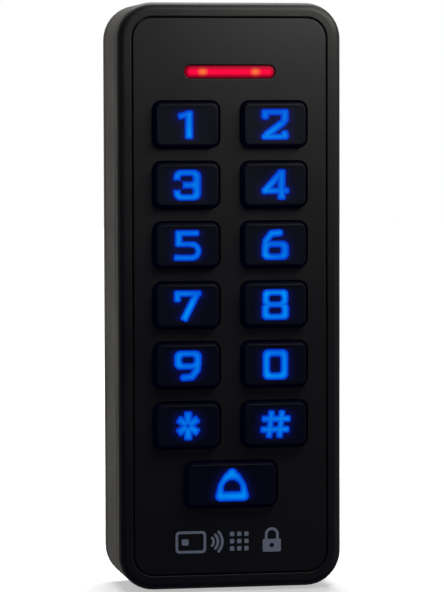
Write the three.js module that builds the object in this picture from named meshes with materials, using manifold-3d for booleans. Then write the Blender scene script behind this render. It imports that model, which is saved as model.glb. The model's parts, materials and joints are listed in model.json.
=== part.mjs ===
// Keypad access reader: a slim door-entry keypad for a wall, with a light bar, twelve
// number and sign keys, a wide bell key and a card coil behind its face.
//
// Lengths are millimetres. Every piece is drawn with the reader lying on its back: x runs
// across the face, y up the face and z out from the wall. The outer group stands it up, so
// the finished part has +Z up, its face looking along -Y and the wall in the plane Y = 0.

import * as THREE from "three";
import { mergeVertices } from "three/addons/utils/BufferGeometryUtils.js";
import Module from "manifold-3d";

const wasm = await Module();
wasm.setup();

// ---- Driving dimensions ----

const WIDTH = 51;
const HEIGHT = 132;
const CORNER = 8;
const GAP = 0.3;

// Each quarter-turn corner is drawn with twice this many flats.
const CASE_STEPS = 3;
const SMALL_STEPS = 1;

// Layers, as distances out from the wall.
const PLATE_BASE = 1.6;
const PLATE_FRONT = 3;
const TUB_BACK = PLATE_FRONT + GAP;
const TUB_FLOOR = TUB_BACK + 2;
const TUB_FRONT = 18;
const COVER_BACK = TUB_FRONT + GAP;
const COVER_INSIDE = 19.2;
const PANEL_SEAT = 20.8;
const PANEL_BACK = PANEL_SEAT + GAP;
const PANEL_FRONT = 21.9;
const COVER_FRONT = 22;
const KEY_TOP = 23.5;

// Shell walls.
const TUB_WALL = 3;
const PLATE_RIM = 2;
const COVER_RIM = 3.2;
const COVER_EDGE = 1.5;
const PANEL_EDGE = 0.4;
const PANEL_CORNER = 4.8;

// Keys: two columns of six, and the bell key under them.
const KEY_PITCH_X = 20;
const KEY_PITCH_Y = 13.5;
const FIRST_ROW_Y = 38.7;
const KEY_ROWS = [["1", "2"], ["3", "4"], ["5", "6"], ["7", "8"], ["9", "0"], ["star", "hash"]];
const KEY_WIDTH = 14.8;
const BELL_WIDTH = 20.8;
const KEY_HEIGHT = 10;
const KEY_CORNER = 1.7;
const KEY_SLOPE = 0.9;
const KEY_SHOULDER = 21.9;
const KEY_CLEARANCE = 0.35;
const WINDOW_STEP = 0.2;
const FLANGE_REACH = 1.9;
const FLANGE_BACK = 17.9;
const FLANGE_FRONT = COVER_INSIDE - GAP;
const STEM_RADIUS = 2.8;
const STEM_BACK = 17.3;

// Contact stack behind the keys. A key travels 1.2 before its pill meets the board.
const PILL_BACK = 16.3;
const PILL_FRONT = STEM_BACK - GAP;
const BOARD_BACK = 13.4;
const BOARD_FRONT = 15;
const BOARD_WIDTH = 43;
const BOARD_HEIGHT = 108;
const MAT_BACK = BOARD_FRONT + GAP;
const MAT_FRONT = 16.3;
const MAT_WIDTH = 42.4;
const MAT_TOP = 46.2;
const MAT_BOTTOM = -49;
const DOME_RADIUS = 3.4;
const PART_BACK = BOARD_BACK - GAP;

// Light bar and its lamps.
const BAR_Y = 50.5;
const BAR_WIDTH = 20.5;
const BAR_HEIGHT = 2.8;
const LAMP_OFFSET = 6;

// Fixings.
const SCREW_X = 17.9;
const SCREW_Y = 58.6;
const SCREW_RADIUS = 1.3;
const HEAD_RADIUS = 2.6;
const HEAD_HEIGHT = 1.6;
const POST_X = 19;
const POST_Y = 51.5;
const BOX_SCREW_Y = 41.65;
const SLOT_WIDTH = 4.5;
const SLOT_LENGTH = 9;

// Cable way.
const CABLE_Y = 16;
const CABLE_OPENING = [22, 14];
const GLAND_BORE = 3.25;
const GLAND_NECK = 4;
const GLAND_FLANGE = 5.6;
const GLAND_SHELF = [5.3, 7.3];

// Hooks at the top of the wall plate and the locking tab at its foot.
const HOOK_X = 7;
const HOOK_WIDTH = 6;
const HOOK_Y = [57, 59];
const HOOK_LIP = 2.5;
const HOOK_TOP = [5.7, 7.2];
const TAB_WIDTH = 11;
const TAB_Y = [-62.5, -60.7];
const TAB_FRONT = 10.4;
const LOCK_Z = 7.6;
const LOCK_POCKET_END = -57.6;

// ---- Solids ----

function solid(geometry) {
  const bare = geometry.clone();
  bare.deleteAttribute("normal");
  bare.deleteAttribute("uv");
  const merged = mergeVertices(bare, 1e-4);
  return new wasm.Manifold(new wasm.Mesh({
    numProp: 3,
    vertProperties: new Float32Array(merged.attributes.position.array),
    triVerts: new Uint32Array(merged.index.array),
  }));
}

function block(width, height, back, front, x = 0, y = 0) {
  const geometry = new THREE.BoxGeometry(width, height, front - back);
  geometry.translate(x, y, (back + front) / 2);
  return solid(geometry);
}

function disc(radius, back, front, x = 0, y = 0, sides = 14) {
  const geometry = new THREE.CylinderGeometry(radius, radius, front - back, sides);
  geometry.rotateX(Math.PI / 2);
  geometry.translate(x, y, (back + front) / 2);
  return solid(geometry);
}

// A round rod along y, for the locking screw and its holes.
function rodAlongY(radius, low, high, z) {
  const geometry = new THREE.CylinderGeometry(radius, radius, high - low, 16);
  geometry.translate(0, (low + high) / 2, z);
  return solid(geometry);
}

function roundedRectangle(width, height, radius) {
  const x = width / 2 - radius;
  const y = height / 2 - radius;
  const shape = new THREE.Shape();
  shape.moveTo(-x, -y - radius);
  shape.lineTo(x, -y - radius);
  shape.absarc(x, -y, radius, -Math.PI / 2, 0, false);
  shape.lineTo(x + radius, y);
  shape.absarc(x, y, radius, 0, Math.PI / 2, false);
  shape.lineTo(-x, y + radius);
  shape.absarc(-x, y, radius, Math.PI / 2, Math.PI, false);
  shape.lineTo(-x - radius, -y);
  shape.absarc(-x, -y, radius, Math.PI, Math.PI * 1.5, false);
  return shape;
}

function plate(width, height, radius, back, front, x = 0, y = 0, steps = SMALL_STEPS) {
  const geometry = new THREE.ExtrudeGeometry(roundedRectangle(width, height, radius), {
    depth: front - back,
    bevelEnabled: false,
    curveSegments: steps,
  });
  geometry.translate(x, y, back);
  return solid(geometry);
}

// A plate whose front edge is rounded or sloped and whose back is cut off square.
function shapedPlate(width, height, radius, back, front, edge, steps) {
  const geometry = new THREE.ExtrudeGeometry(roundedRectangle(width, height, radius), {
    depth: front - back - edge.depth,
    bevelThickness: edge.depth,
    bevelSize: edge.inset,
    bevelOffset: -edge.inset,
    bevelSegments: edge.steps,
    curveSegments: steps,
  });
  geometry.translate(0, 0, back);
  const spare = block(width + 2, height + 2, back - edge.depth - 1, back);
  return solid(geometry).subtract(spare);
}

function frameRing(outer, inner, back, front, y = 0) {
  const hole = plate(
    inner.width, inner.height, inner.radius, back - 1, front + 1, 0, y, CASE_STEPS);
  return plate(
    outer.width, outer.height, outer.radius, back, front, 0, y, CASE_STEPS).subtract(hole);
}

function lathe(profile, sides) {
  const geometry = new THREE.LatheGeometry(profile.map(([r, z]) => new THREE.Vector2(r, z)), sides);
  geometry.rotateX(Math.PI / 2);
  return solid(geometry);
}

// ---- Places ----

const keyPlaces = [];
KEY_ROWS.forEach((row, index) => {
  const y = FIRST_ROW_Y - KEY_PITCH_Y * index;
  keyPlaces.push({ sign: row[0], x: -KEY_PITCH_X / 2, y, width: KEY_WIDTH });
  keyPlaces.push({ sign: row[1], x: KEY_PITCH_X / 2, y, width: KEY_WIDTH });
});
const bellY = FIRST_ROW_Y - KEY_PITCH_Y * KEY_ROWS.length;
keyPlaces.push({ sign: "bell", x: 0, y: bellY, width: BELL_WIDTH });

const cornerPlaces = [[-1, 1], [1, 1], [-1, -1], [1, -1]];
const screwPlaces = cornerPlaces.map(([x, y]) => [x * SCREW_X, y * SCREW_Y]);
const postPlaces = cornerPlaces.map(([x, y]) => [x * POST_X, y * POST_Y]);

// ---- Wall plate ----

function wallPlate() {
  const tray = { width: WIDTH - 2 * PLATE_RIM, height: HEIGHT - 2 * PLATE_RIM };
  let body = plate(WIDTH, HEIGHT, CORNER, 0, PLATE_FRONT, 0, 0, CASE_STEPS);
  body = body.subtract(
    plate(tray.width, tray.height, CORNER - PLATE_RIM, PLATE_BASE, PLATE_FRONT + 1,
      0, 0, CASE_STEPS));
  const padFront = 2.4;
  for (const y of [-BOX_SCREW_Y, BOX_SCREW_Y]) {
    body = body.add(plate(SLOT_LENGTH + 6, SLOT_LENGTH + 6, 3, 1, padFront, 0, y));
  }
  for (const x of [-17.5, 17.5]) {
    body = body.add(block(1.4, 96, 1, padFront, x, 0));
  }
  body = body.add(frameRing(
    { width: CABLE_OPENING[0] + 3, height: CABLE_OPENING[1] + 3, radius: 3 },
    { width: CABLE_OPENING[0], height: CABLE_OPENING[1], radius: 1.5 },
    1, padFront, CABLE_Y));
  body = body.add(block(TAB_WIDTH, TAB_Y[1] - TAB_Y[0], 1, TAB_FRONT, 0, (TAB_Y[0] + TAB_Y[1]) / 2));
  const stemY = (HOOK_Y[0] + HOOK_Y[1]) / 2;
  const lipY = (HOOK_Y[0] + HOOK_Y[1] + HOOK_LIP) / 2;
  for (const x of [-HOOK_X, HOOK_X]) {
    body = body.add(block(HOOK_WIDTH, HOOK_Y[1] - HOOK_Y[0], 1, HOOK_TOP[1], x, stemY));
    body = body.add(
      block(HOOK_WIDTH, HOOK_Y[1] - HOOK_Y[0] + HOOK_LIP, HOOK_TOP[0], HOOK_TOP[1], x, lipY));
  }
  const slotRadius = SLOT_WIDTH / 2 - 0.01;
  body = body.subtract(plate(SLOT_LENGTH, SLOT_WIDTH, slotRadius, -1, 4, 0, BOX_SCREW_Y));
  body = body.subtract(plate(SLOT_WIDTH, SLOT_LENGTH, slotRadius, -1, 4, 0, -BOX_SCREW_Y));
  body = body.subtract(plate(CABLE_OPENING[0], CABLE_OPENING[1], 1.5, -1, 4, 0, CABLE_Y));
  return body.subtract(rodAlongY(SCREW_RADIUS + GAP, TAB_Y[0] - 1, TAB_Y[1] + 1, LOCK_Z));
}

// ---- Rear housing ----

// A walled pocket on the inside of the tub floor that is open at the back.
function addPocket(body, pocket) {
  const wall = 1.4;
  const { x, width, low, high, front } = pocket;
  const middle = (low + high) / 2;
  const hood = block(
    width + 2 * wall, high - low + 2 * wall, TUB_FLOOR - 0.5, front + wall, x, middle);
  return body.add(hood).subtract(block(width, high - low, TUB_BACK - 1, front, x, middle));
}

function rearHousing() {
  const inside = { width: WIDTH - 2 * TUB_WALL, height: HEIGHT - 2 * TUB_WALL };
  let body = plate(WIDTH, HEIGHT, CORNER, TUB_BACK, TUB_FRONT, 0, 0, CASE_STEPS);
  body = body.subtract(
    plate(inside.width, inside.height, CORNER - TUB_WALL, TUB_FLOOR, TUB_FRONT + 1,
      0, 0, CASE_STEPS));
  body = body.subtract(sealRing(1.5, 16.4, TUB_FRONT + 1));
  const bossFront = 8.7;
  const headSeat = 5.6;
  for (const [x, y] of screwPlaces) {
    body = body.add(disc(3.8, TUB_FLOOR - 0.5, bossFront, x, y));
    body = body.subtract(disc(HEAD_RADIUS + 0.4, TUB_BACK - 1, headSeat, x, y));
    body = body.subtract(disc(SCREW_RADIUS + 0.4, TUB_BACK, bossFront + 1, x, y));
  }
  for (const [x, y] of postPlaces) {
    body = body.add(disc(2.4, TUB_FLOOR - 0.5, PART_BACK, x, y, 16));
    body = body.add(disc(1, PART_BACK - 0.5, BOARD_FRONT - 0.2, x, y, 12));
  }
  body = body.add(disc(8, TUB_FLOOR - 0.5, GLAND_SHELF[1], 0, CABLE_Y, 20));
  body = body.subtract(disc(GLAND_FLANGE + 0.4, TUB_BACK - 1, GLAND_SHELF[0], 0, CABLE_Y, 20));
  body = body.subtract(disc(GLAND_NECK + GAP, TUB_BACK, GLAND_SHELF[1] + 1, 0, CABLE_Y, 20));
  for (const x of [-HOOK_X, HOOK_X]) {
    body = addPocket(body, {
      x,
      width: HOOK_WIDTH + 2 * GAP,
      low: HOOK_Y[0] - HOOK_LIP - GAP,
      high: HOOK_Y[1] + HOOK_LIP + GAP,
      front: HOOK_TOP[1] + GAP,
    });
    // The floor strip that hangs on the hook.
    const stripLow = HOOK_Y[1] + GAP;
    const stripHigh = HOOK_Y[1] + HOOK_LIP + 0.5;
    body = body.add(block(HOOK_WIDTH + 1, stripHigh - stripLow, TUB_BACK, TUB_FLOOR,
      x, (stripLow + stripHigh) / 2));
  }
  body = addPocket(body, {
    x: 0,
    width: TAB_WIDTH + 2 * GAP,
    low: TUB_WALL - HEIGHT / 2,
    high: LOCK_POCKET_END,
    front: TAB_FRONT + GAP,
  });
  const bottom = -HEIGHT / 2;
  body = body.subtract(rodAlongY(SCREW_RADIUS + GAP, bottom - 1, bottom + TUB_WALL + 1, LOCK_Z));
  body = body.subtract(rodAlongY(HEAD_RADIUS + 0.4, bottom - 1, bottom + HEAD_HEIGHT + 0.2, LOCK_Z));
  const tamperHole = disc(1.8, TUB_BACK - 1, TUB_FLOOR + 1, -14, 14, 16);
  return body.subtract(tamperHole);
}

// A ring that follows the middle of the tub wall.
function sealRing(ringWidth, back, front) {
  const middle = TUB_WALL / 2;
  const out = middle - ringWidth / 2;
  const inn = middle + ringWidth / 2;
  return frameRing(
    { width: WIDTH - 2 * out, height: HEIGHT - 2 * out, radius: CORNER - out },
    { width: WIDTH - 2 * inn, height: HEIGHT - 2 * inn, radius: CORNER - inn },
    back, front);
}

// Rubber grommet: a bore with a flange on each side of its shelf.
function cableGland() {
  const [shelfBack, shelfFront] = GLAND_SHELF;
  const flange = 1.4;
  const back = shelfBack - GAP - flange;
  const front = shelfFront + GAP + flange;
  return lathe([
    [GLAND_BORE, back],
    [GLAND_FLANGE, back],
    [GLAND_FLANGE, shelfBack - GAP],
    [GLAND_NECK, shelfBack - GAP],
    [GLAND_NECK, shelfFront + GAP],
    [GLAND_FLANGE, shelfFront + GAP],
    [GLAND_FLANGE - 0.4, front],
    [GLAND_BORE, front],
    [GLAND_BORE, back],
  ], 20);
}

// ---- Front cover, face panel and light bar ----

function cutKeyWindows(body, clearance, back, front) {
  for (const { x, y, width } of keyPlaces) {
    const window = plate(width + 2 * clearance, KEY_HEIGHT + 2 * clearance,
      KEY_CORNER + clearance, back, front, x, y);
    body = body.subtract(window);
  }
  return body;
}

function cutBarWindow(body, clearance, back, front) {
  const height = BAR_HEIGHT + 2 * clearance;
  return body.subtract(
    plate(BAR_WIDTH + 2 * clearance, height, height / 2 - 0.01, back, front, 0, BAR_Y, 2));
}

function frontCover() {
  let body = shapedPlate(WIDTH, HEIGHT, CORNER, COVER_BACK, COVER_FRONT,
    { depth: COVER_EDGE, inset: COVER_EDGE, steps: 2 }, CASE_STEPS);
  body = body.subtract(plate(WIDTH - 2 * TUB_WALL, HEIGHT - 2 * TUB_WALL, CORNER - TUB_WALL,
    COVER_BACK - 1, COVER_INSIDE, 0, 0, CASE_STEPS));
  body = body.subtract(plate(WIDTH - 2 * COVER_RIM, HEIGHT - 2 * COVER_RIM, PANEL_CORNER,
    PANEL_SEAT, COVER_FRONT + 1, 0, 0, CASE_STEPS));
  body = cutKeyWindows(body, KEY_CLEARANCE + WINDOW_STEP, COVER_BACK - 1, COVER_FRONT + 1);
  body = cutBarWindow(body, GAP + WINDOW_STEP, COVER_BACK - 1, COVER_FRONT + 1);
  for (const [x, y] of screwPlaces) {
    body = body.add(disc(3.2, 9, COVER_INSIDE + 0.5, x, y));
    body = body.subtract(disc(SCREW_RADIUS + GAP, 8, 17.5, x, y));
  }
  return body;
}

function facePanel() {
  const width = WIDTH - 2 * COVER_RIM - 2 * GAP;
  const height = HEIGHT - 2 * COVER_RIM - 2 * GAP;
  let body = shapedPlate(width, height, PANEL_CORNER - GAP, PANEL_BACK, PANEL_FRONT,
    { depth: PANEL_EDGE, inset: PANEL_EDGE, steps: 1 }, CASE_STEPS);
  body = cutKeyWindows(body, KEY_CLEARANCE, PANEL_BACK - 1, PANEL_FRONT + 1);
  return cutBarWindow(body, GAP, PANEL_BACK - 1, PANEL_FRONT + 1);
}

function lightBar() {
  const flange = plate(BAR_WIDTH + 2.6, BAR_HEIGHT + 2.4, 1, 17.6, COVER_INSIDE - GAP);
  const face = plate(
    BAR_WIDTH, BAR_HEIGHT, BAR_HEIGHT / 2 - 0.01, 18, COVER_FRONT + 0.1, 0, 0, 2);
  let body = flange.add(face);
  for (const x of [-LAMP_OFFSET, LAMP_OFFSET]) {
    body = body.add(disc(1.3, 16.7, 18, x, 0, 12));
  }
  return body;
}

// ---- Keys and contacts ----

function keyCap(width) {
  const cap = shapedPlate(width, KEY_HEIGHT, KEY_CORNER, FLANGE_BACK, KEY_TOP,
    { depth: KEY_TOP - KEY_SHOULDER, inset: KEY_SLOPE, steps: 1 }, SMALL_STEPS);
  const reach = 2 * FLANGE_REACH;
  const lip = 2 * (FLANGE_REACH - 0.6);
  const flange = block(width + reach, KEY_HEIGHT + lip, FLANGE_BACK, FLANGE_FRONT);
  const stem = disc(STEM_RADIUS, STEM_BACK, FLANGE_BACK + 0.5, 0, 0, 12);
  return cap.add(flange).add(stem);
}

function contactPill() {
  return disc(STEM_RADIUS, PILL_BACK, PILL_FRONT, 0, 0, 12);
}

const backlightPlaces = KEY_ROWS.map((row, index) => [0, FIRST_ROW_Y - KEY_PITCH_Y * index]);
backlightPlaces.push([7, bellY]);

function keypadMat() {
  const middle = (MAT_TOP + MAT_BOTTOM) / 2;
  let body = plate(MAT_WIDTH, MAT_TOP - MAT_BOTTOM, 2, MAT_BACK, MAT_FRONT, 0, middle);
  for (const { x, y } of keyPlaces) {
    body = body.subtract(disc(DOME_RADIUS, MAT_BACK - 1, MAT_FRONT + 1, x, y, 12));
  }
  for (const [x, y] of backlightPlaces) {
    body = body.subtract(block(3.6, 2.8, MAT_BACK - 1, MAT_FRONT + 1, x, y));
  }
  return body;
}

// ---- Circuit board and what it carries ----

function mainBoard() {
  let body = plate(BOARD_WIDTH, BOARD_HEIGHT, 2, BOARD_BACK, BOARD_FRONT);
  for (const [x, y] of postPlaces) {
    body = body.subtract(disc(1.4, BOARD_BACK - 1, BOARD_FRONT + 1, x, y, 12));
  }
  return body;
}

function antennaCoil() {
  return frameRing({ width: 40, height: 40, radius: 4 }, { width: 35, height: 35, radius: 2 },
    PART_BACK - 1.2, PART_BACK);
}

// A flat chip with a row of legs along two or four of its sides.
function chip(width, height, thickness, legs, fourSides) {
  const back = PART_BACK - thickness;
  const pitch = 1.27;
  const reach = 1.2;
  let body = block(width, height, back, PART_BACK - 0.1);
  for (let index = 0; index < legs; index += 1) {
    const along = (index - (legs - 1) / 2) * pitch;
    for (const side of [-1, 1]) {
      const y = side * (height / 2 + 0.4);
      body = body.add(block(0.5, reach, PART_BACK - 0.5, PART_BACK, along, y));
      if (fourSides) {
        const x = side * (width / 2 + 0.4);
        body = body.add(block(reach, 0.5, PART_BACK - 0.5, PART_BACK, x, along));
      }
    }
  }
  return body.subtract(disc(0.5, back - 1, back + 0.3, 1.2 - width / 2, 1.2 - height / 2, 8));
}

function relay() {
  let body = plate(15, 10, 0.8, PART_BACK - 7.2, PART_BACK - 0.5);
  for (const x of [-6, -2, 2, 6]) {
    for (const y of [-3.8, 3.8]) {
      body = body.add(block(0.6, 0.6, PART_BACK - 1, PART_BACK, x, y));
    }
  }
  return body;
}

function buzzer() {
  const front = PART_BACK;
  return lathe([
    [0, front - 5.9], [1.2, front - 5.9], [1.2, front - 6.9], [5.5, front - 6.9],
    [6, front - 6.4], [6, front], [0, front],
  ], 16);
}

function wireConnector() {
  const ways = 8;
  const pitch = 2.54;
  const width = ways * pitch + 1.6;
  let body = block(width, 6.4, PART_BACK - 7, PART_BACK);
  body = body.subtract(block(width - 1.8, 4.4, PART_BACK - 8, PART_BACK - 1.4, 0, 0));
  for (let way = 0; way < ways; way += 1) {
    const x = (way - (ways - 1) / 2) * pitch;
    body = body.add(block(0.64, 0.64, PART_BACK - 5.6, PART_BACK - 1, x, 0));
  }
  return body;
}

function voltageRegulator() {
  let body = block(6.5, 6, PART_BACK - 2.3, PART_BACK - 0.1);
  body = body.add(block(5.2, 3, PART_BACK - 0.6, PART_BACK, 0, 4));
  for (const x of [-2.3, 2.3]) {
    body = body.add(block(0.8, 3, PART_BACK - 0.6, PART_BACK, x, -4));
  }
  return body;
}

function capacitor() {
  const front = PART_BACK;
  return lathe([
    [0, front - 7], [2.9, front - 7], [3.15, front - 6.8], [3.15, front - 2.2],
    [2.9, front - 1.8], [3.2, front - 1.4], [3.2, front], [0, front],
  ], 14);
}

function surgeDiode() {
  const body = block(4.4, 6.6, PART_BACK - 2.3, PART_BACK - 0.1);
  return body.add(block(2.8, 7.8, PART_BACK - 1, PART_BACK));
}

function crystal() {
  const base = plate(11.2, 4.7, 2.2, PART_BACK - 0.6, PART_BACK);
  return base.add(plate(10.2, 3.8, 1.8, PART_BACK - 3.5, PART_BACK - 0.3));
}

function tamperSensor() {
  const front = PART_BACK;
  return lathe([
    [0, front - 5.6], [1.5, front - 5.6], [2.1, front - 5], [2.1, front - 0.8],
    [2.4, front - 0.8], [2.4, front], [0, front],
  ], 12);
}

function surfaceLamp(width, height) {
  const body = block(width, height, BOARD_FRONT + GAP, BOARD_FRONT + 0.9);
  return body.add(block(width * 0.7, height * 0.8, BOARD_FRONT + 0.8, BOARD_FRONT + 1.1));
}

// ---- Seal and screws ----

function caseGasket() {
  return sealRing(0.9, 16.8, TUB_FRONT);
}

// A pan-head screw along z, its head at the back and a cross recess in the head.
function caseScrew() {
  const headBack = 3.7;
  const headFront = headBack + HEAD_HEIGHT;
  let body = lathe([
    [0, headBack], [HEAD_RADIUS - 0.5, headBack], [HEAD_RADIUS, headBack + 0.6],
    [HEAD_RADIUS, headFront], [SCREW_RADIUS, headFront], [SCREW_RADIUS, 15.4], [0.6, 16.6],
    [0, 16.6],
  ], 12);
  body = body.subtract(block(2.6, 0.6, headBack - 1, headBack + 0.9));
  return body.subtract(block(0.6, 2.6, headBack - 1, headBack + 0.9));
}

// The locking screw: a button head with a six-sided socket, pointing up from the foot.
function securityScrew() {
  const headLow = -HEIGHT / 2 + 0.3;
  const headHigh = headLow + 1.2;
  const profile = [
    [0, headLow], [HEAD_RADIUS - 0.8, headLow], [HEAD_RADIUS, headLow + 0.7],
    [HEAD_RADIUS, headHigh], [SCREW_RADIUS, headHigh], [SCREW_RADIUS, -59], [0, -58.2],
  ].map(([r, y]) => new THREE.Vector2(r, y));
  const turned = new THREE.LatheGeometry(profile, 14);
  turned.translate(0, 0, LOCK_Z);
  const socket = new THREE.CylinderGeometry(1.15, 1.15, 2, 6);
  socket.translate(0, headLow, LOCK_Z);
  return solid(turned).subtract(solid(socket));
}

// ---- Materials ----

function finish(color, roughness, metalness = 0) {
  return new THREE.MeshStandardMaterial({ color, roughness, metalness });
}

const finishes = {
  case_plastic: finish(0x2a2a28, 0.55),
  panel_plastic: finish(0x1b1c1e, 0.5),
  key_plastic: finish(0x14161a, 0.42),
  red_light: finish(0xf6163b, 0.3),
  blue_light: finish(0x1478f0, 0.3),
  silicone: finish(0x8f9296, 0.75),
  carbon: finish(0x18181a, 0.85),
  circuit_board: finish(0x1d5a34, 0.5),
  copper: finish(0xb9703c, 0.35, 1),
  chip_plastic: finish(0x1c1c1e, 0.6),
  white_plastic: finish(0xdedbd2, 0.55),
  steel: finish(0xb9bcc0, 0.3, 1),
  black_rubber: finish(0x1a1a1a, 0.9),
};

// ---- Assembly ----

const reader = new THREE.Group();
reader.rotation.x = Math.PI / 2;

function place(name, body, finishName, x = 0, y = 0) {
  const { vertProperties, triVerts } = body.getMesh();
  const geometry = new THREE.BufferGeometry();
  geometry.setAttribute("position", new THREE.BufferAttribute(vertProperties, 3));
  geometry.setIndex(new THREE.BufferAttribute(triVerts, 1));
  geometry.computeVertexNormals();
  const mesh = new THREE.Mesh(geometry, finishes[finishName]);
  mesh.name = name;
  mesh.position.set(x, y, 0);
  reader.add(mesh);
}

place("wall_plate", wallPlate(), "case_plastic");
place("rear_housing", rearHousing(), "case_plastic");
place("case_gasket", caseGasket(), "black_rubber");
place("cable_gland", cableGland(), "black_rubber", 0, CABLE_Y);
place("front_cover", frontCover(), "case_plastic");
place("face_panel", facePanel(), "panel_plastic");
place("light_bar", lightBar(), "red_light", 0, BAR_Y);

for (const { sign, x, y, width } of keyPlaces) {
  place(`key_${sign}`, keyCap(width), "key_plastic", x, y);
  place(`contact_pill_${sign}`, contactPill(), "carbon", x, y);
}
place("keypad_mat", keypadMat(), "silicone");

place("main_board", mainBoard(), "circuit_board");
place("antenna_coil", antennaCoil(), "copper", 0, -26);
place("microcontroller", chip(10, 10, 1.6, 4, true), "chip_plastic", 0, -18);
place("reader_chip", chip(9.6, 4, 1.7, 5, false), "chip_plastic", -8, -36);
place("crystal", crystal(), "steel", 8, -34);
place("relay", relay(), "white_plastic", -13, 1);
place("buzzer", buzzer(), "chip_plastic", 13.5, 1.5);
place("wire_connector", wireConnector(), "white_plastic", 0, 30.5);
place("surge_diode", surgeDiode(), "chip_plastic", -16.5, 30.5);
place("voltage_regulator", voltageRegulator(), "chip_plastic", -14, 42.5);
place("capacitor", capacitor(), "steel", 15.5, 41);
place("tamper_sensor", tamperSensor(), "red_light", -14, 14);
place("status_led_left", surfaceLamp(3.2, 1.6), "red_light", -LAMP_OFFSET, BAR_Y);
place("status_led_right", surfaceLamp(3.2, 1.6), "red_light", LAMP_OFFSET, BAR_Y);
backlightPlaces.forEach(([x, y], index) => {
  place(`backlight_led_${index + 1}`, surfaceLamp(2, 1.25), "blue_light", x, y);
});

screwPlaces.forEach(([x, y], index) => {
  place(`case_screw_${index + 1}`, caseScrew(), "steel", x, y);
});
place("security_screw", securityScrew(), "steel");

export default reader;
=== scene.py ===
"""The looks of a keypad access reader, drawn in the frame of its CAD model.

Pieces are drawn in millimetres as (x, y, out): x across the face, y up it and out away from
the wall. Each finished mesh is turned to the frame's metres, where out is -Y and up is +Z.
"""
import json
from math import atan2, ceil, cos, exp, hypot, inf, pi, radians, sin, tan

import bmesh
import bpy
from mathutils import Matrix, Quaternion, Vector
from mathutils.geometry import delaunay_2d_cdt, tessellate_polygon


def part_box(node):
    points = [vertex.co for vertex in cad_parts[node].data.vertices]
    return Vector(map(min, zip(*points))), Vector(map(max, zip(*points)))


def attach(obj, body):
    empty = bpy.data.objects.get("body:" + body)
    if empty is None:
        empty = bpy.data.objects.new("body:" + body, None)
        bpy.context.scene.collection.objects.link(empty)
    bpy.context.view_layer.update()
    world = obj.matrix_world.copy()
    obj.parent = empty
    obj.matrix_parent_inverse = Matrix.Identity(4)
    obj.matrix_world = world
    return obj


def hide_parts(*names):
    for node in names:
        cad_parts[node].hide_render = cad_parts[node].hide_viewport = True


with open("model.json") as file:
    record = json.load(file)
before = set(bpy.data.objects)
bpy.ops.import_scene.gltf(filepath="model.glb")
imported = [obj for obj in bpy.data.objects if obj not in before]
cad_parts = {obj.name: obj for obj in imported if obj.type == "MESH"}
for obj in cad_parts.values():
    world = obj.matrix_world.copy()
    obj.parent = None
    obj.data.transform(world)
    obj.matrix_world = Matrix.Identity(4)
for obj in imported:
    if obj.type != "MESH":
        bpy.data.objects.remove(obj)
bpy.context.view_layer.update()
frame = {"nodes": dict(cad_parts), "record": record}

scene = bpy.context.scene

SIGNS = ("1", "2", "3", "4", "5", "6", "7", "8", "9", "0", "star", "hash", "bell")
MM = 0.001

# Rounding and mesh fineness: lengths in millimetres, angles in degrees, steps in an arc.
# HOLD is the length of the straight that a profile keeps beside each rounded corner.
HOLD = 0.06
ARC_STEPS = 6
CORNER_STEPS = 10
FEW_STEPS = 6
SHARP_ANGLE = 40
EASED_EDGE = 0.1
EASED_ANGLE = 35


# ---- Sizes read from the frame ----

class Box:
    """A node's box in face millimetres."""

    def __init__(self, node):
        low, high = (Vector(corner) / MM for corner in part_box(node))
        self.bottom, self.top = low.z, high.z
        self.back, self.front = -high.y, -low.y
        self.x = (low.x + high.x) / 2
        self.y = (low.z + high.z) / 2
        self.width = high.x - low.x
        self.height = high.z - low.z


cover = Box("front_cover")
tub = Box("rear_housing")
panel = Box("face_panel")
plate = Box("wall_plate")
bar = Box("light_bar")
gland = Box("cable_gland")
gasket = Box("case_gasket")
locking = Box("security_screw")
tamper = Box("tamper_sensor")
keys = {sign: Box("key_" + sign) for sign in SIGNS}
lamps = [Box("status_led_left"), Box("status_led_right")]
backlights = [Box("backlight_led_%d" % number) for number in range(1, 8)]
mat = Box("keypad_mat")
screws = [Box("case_screw_%d" % number) for number in range(1, 5)]

# Sizes of the drawn pieces in millimetres, with out measured from the wall. GAP is the space
# left between pieces that meet.
GAP = 0.3
CASE_CORNER = 8.0
TUB_WALL = 3.0
RIM = 3.2
COVER_BACK = tub.front + GAP
COVER_INSIDE = 19.2
FLANGE_FRONT = COVER_INSIDE - GAP
PANEL_SEAT = panel.back - GAP
PLATE_FRONT = tub.back - GAP
PLATE_BASE = 1.6
TUB_FLOOR = tub.back + 2.0
SEAM_DEPTH = 0.5
SEAM_LIP = 0.25
KEY_REACH = 1.9
KEY_LIP = 1.3
KEY_CORNER = 1.7
KEY_GAP = 0.35
BAR_GAP = 0.15
BAR_WIDTH = bar.width - 2.6
BAR_HEIGHT = bar.height - 2.4
BOX_SCREW_Y = 41.65
SEAL_GROOVE = (0.75, 2.25)
SEAL_FLOOR = gasket.back - 0.4
BOARD_BACK = Box("main_board").back
POST_X, POST_Y = 19, 51.5
HOOK_PLACES = (-7, 7)
HOOK_WIDTH = 6.0
HOOK_STEM = (57.0, 59.0)
HOOK_FRONT = 7.2
HOOK_POCKET = (54.2, 61.8)
TAB_WIDTH = 11.0
TAB_Y = (-62.5, -60.7)
TAB_FRONT = 10.4
LOCK_POCKET = (-63.0, -57.6)
LOCK_OUT = (locking.back + locking.front) / 2
HOOD_SIDE, HOOD_END = 1.7, 1.4


# ---- Outlines and profiles ----

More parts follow.
